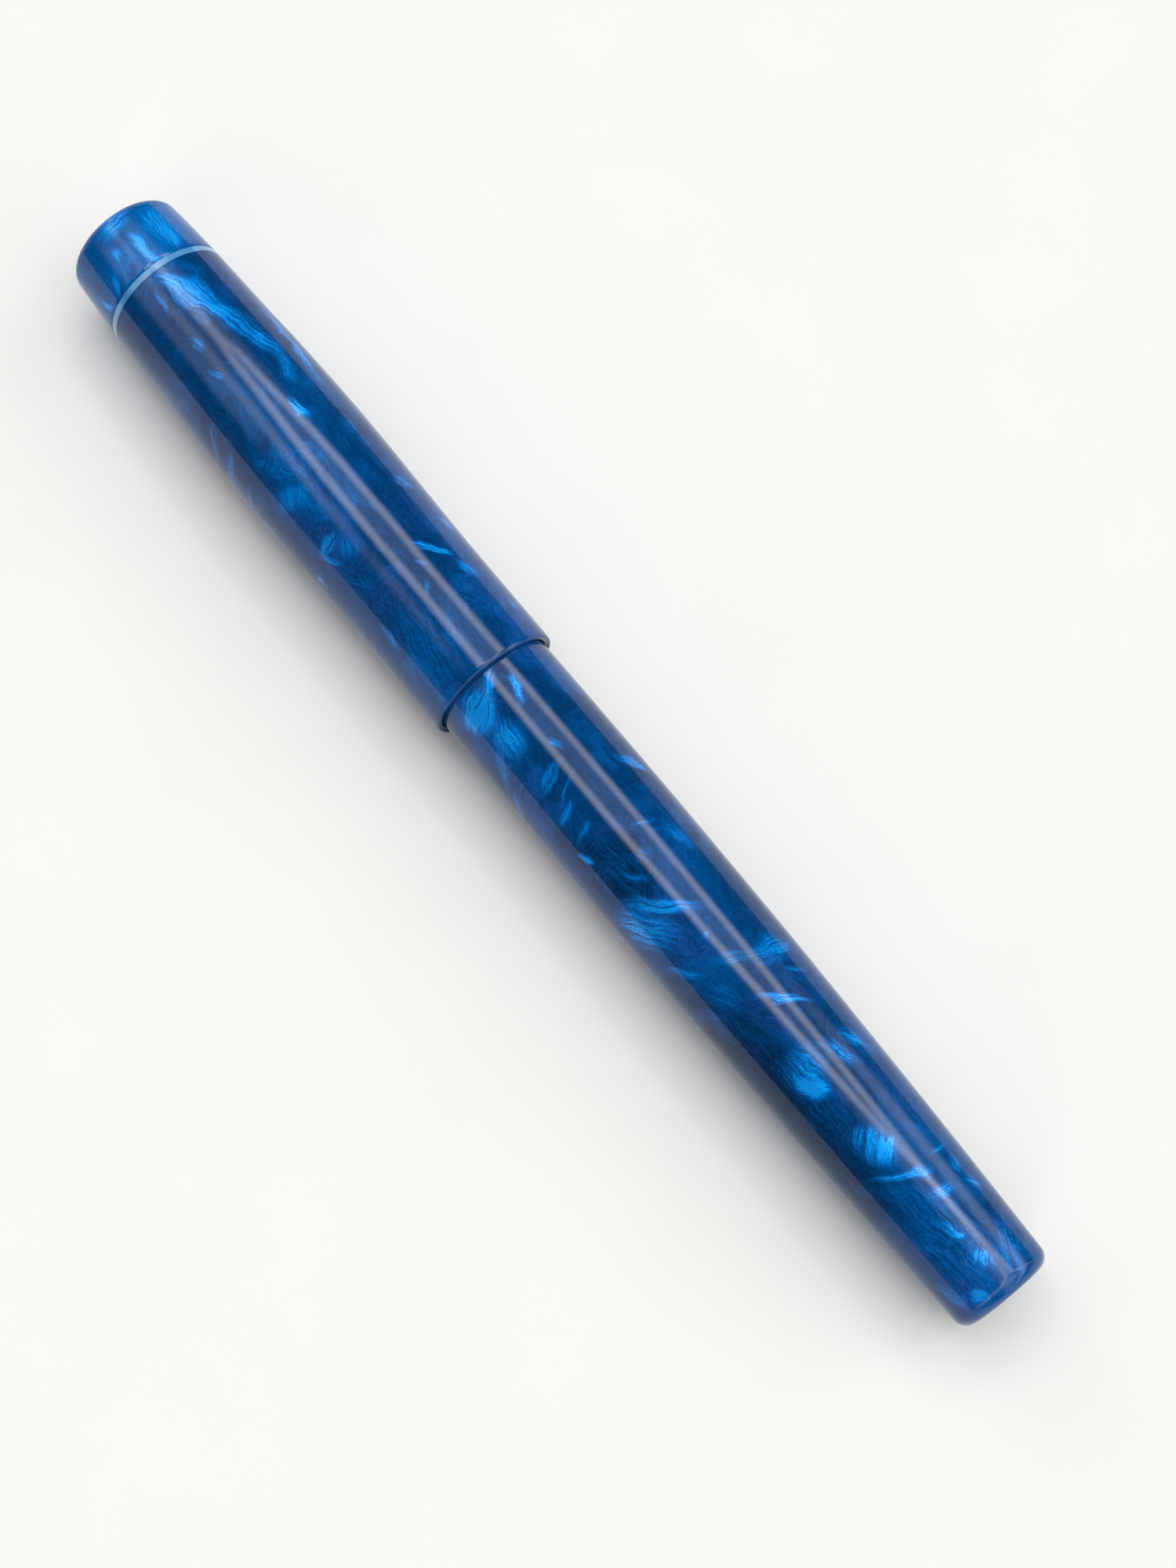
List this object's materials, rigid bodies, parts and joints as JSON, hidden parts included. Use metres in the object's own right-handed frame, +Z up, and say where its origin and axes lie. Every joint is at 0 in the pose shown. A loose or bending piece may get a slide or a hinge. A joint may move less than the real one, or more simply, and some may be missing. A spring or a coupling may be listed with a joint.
{
  "type": "fountain pen",
  "caption": "Clipless screw-cap fountain pen in swirled blue resin, capped, with threaded nib unit and piston converter inside.",
  "frame": {"origin": "on the surface the pen lies on, under the middle of its capped length and below its axis", "axes": "+X along the pen's axis towards the top of the cap, +Z up, +Y across"},
  "size_m": [0.145, 0.0156, 0.0156],
  "materials": {
    "resin": "polished swirled pearlescent blue resin",
    "ring_resin": "polished pale blue translucent resin",
    "liner_plastic": "satin moulded plastic",
    "black_plastic": "satin moulded plastic",
    "clear_plastic": "clear moulded plastic",
    "rubber": "smooth rubber",
    "brass": "turned brass",
    "chrome": "polished chrome plate",
    "nib_steel": "polished stainless steel",
    "tip_alloy": "ground hard alloy"
  },
  "bodies": {
    "grip": {"grip_section": "resin"},
    "inner_cap": {"inner_cap": "liner_plastic"},
    "accent_ring": {"cap_accent_ring": "ring_resin"},
    "cap": {"cap_body": "resin", "cap_finial": "resin"},
    "thread_bush": {"barrel_thread_bush": "brass"},
    "o_ring": {"barrel_o_ring": "rubber"},
    "barrel": {"barrel": "resin"},
    "nib_housing": {"nib_housing": "black_plastic"},
    "nib": {"feed": "black_plastic", "nib": "nib_steel", "nib_tipping": "tip_alloy"},
    "converter": {"converter_tube": "clear_plastic", "converter_ferrule": "chrome", "rod_guide": "black_plastic"},
    "knob": {"converter_knob": "black_plastic", "piston_spindle": "black_plastic"},
    "piston": {"piston_rod": "black_plastic", "piston_head": "black_plastic", "piston_seal": "rubber"}
  },
  "joints": [
    {"name": "cap_pull_off", "type": "slide", "parent": "grip", "child": "inner_cap", "axis": [1, 0, 0], "range_m": [0, 0.062]},
    {"name": "cap_advance", "type": "slide", "parent": "inner_cap", "child": "accent_ring", "axis": [1, 0, 0], "range_m": [0, 0.003]},
    {"name": "cap_turn", "type": "hinge", "parent": "accent_ring", "child": "cap", "pos_m": [0, 0, 0.00781], "axis": [1, 0, 0], "range_deg": [0, 450]},
    {"name": "barrel_advance", "type": "slide", "parent": "grip", "child": "o_ring", "axis": [-1, 0, 0], "range_m": [0, 0.003]},
    {"name": "barrel_pull_off", "type": "slide", "parent": "o_ring", "child": "thread_bush", "axis": [-1, 0, 0], "range_m": [0, 0.08]},
    {"name": "barrel_turn", "type": "hinge", "parent": "thread_bush", "child": "barrel", "pos_m": [0, 0, 0.00781], "axis": [-1, 0, 0], "range_deg": [0, 1080]},
    {"name": "nib_unit_advance", "type": "slide", "parent": "grip", "child": "nib_housing", "axis": [1, 0, 0], "range_m": [0, 0.0025]},
    {"name": "nib_unit_turn", "type": "hinge", "parent": "nib_housing", "child": "nib", "pos_m": [0, 0, 0.00781], "axis": [1, 0, 0], "range_deg": [0, 1800]},
    {"name": "converter_pull", "type": "slide", "parent": "grip", "child": "converter", "axis": [-1, 0, 0], "range_m": [0, 0.007]},
    {"name": "knob_turn", "type": "hinge", "parent": "converter", "child": "knob", "pos_m": [0, 0, 0.00781], "axis": [-1, 0, 0], "range_deg": [0, 2880]},
    {"name": "piston_slide", "type": "slide", "parent": "converter", "child": "piston", "axis": [1, 0, 0], "range_m": [0, 0.02]}
  ],
  "couplings": [
    {"joint": "cap_turn", "follows": "cap_advance", "rad_per_m": 2618},
    {"joint": "barrel_turn", "follows": "barrel_advance", "rad_per_m": 6283.2},
    {"joint": "nib_unit_turn", "follows": "nib_unit_advance", "rad_per_m": 12566},
    {"joint": "knob_turn", "follows": "piston_slide", "rad_per_m": 2513.3}
  ]
}
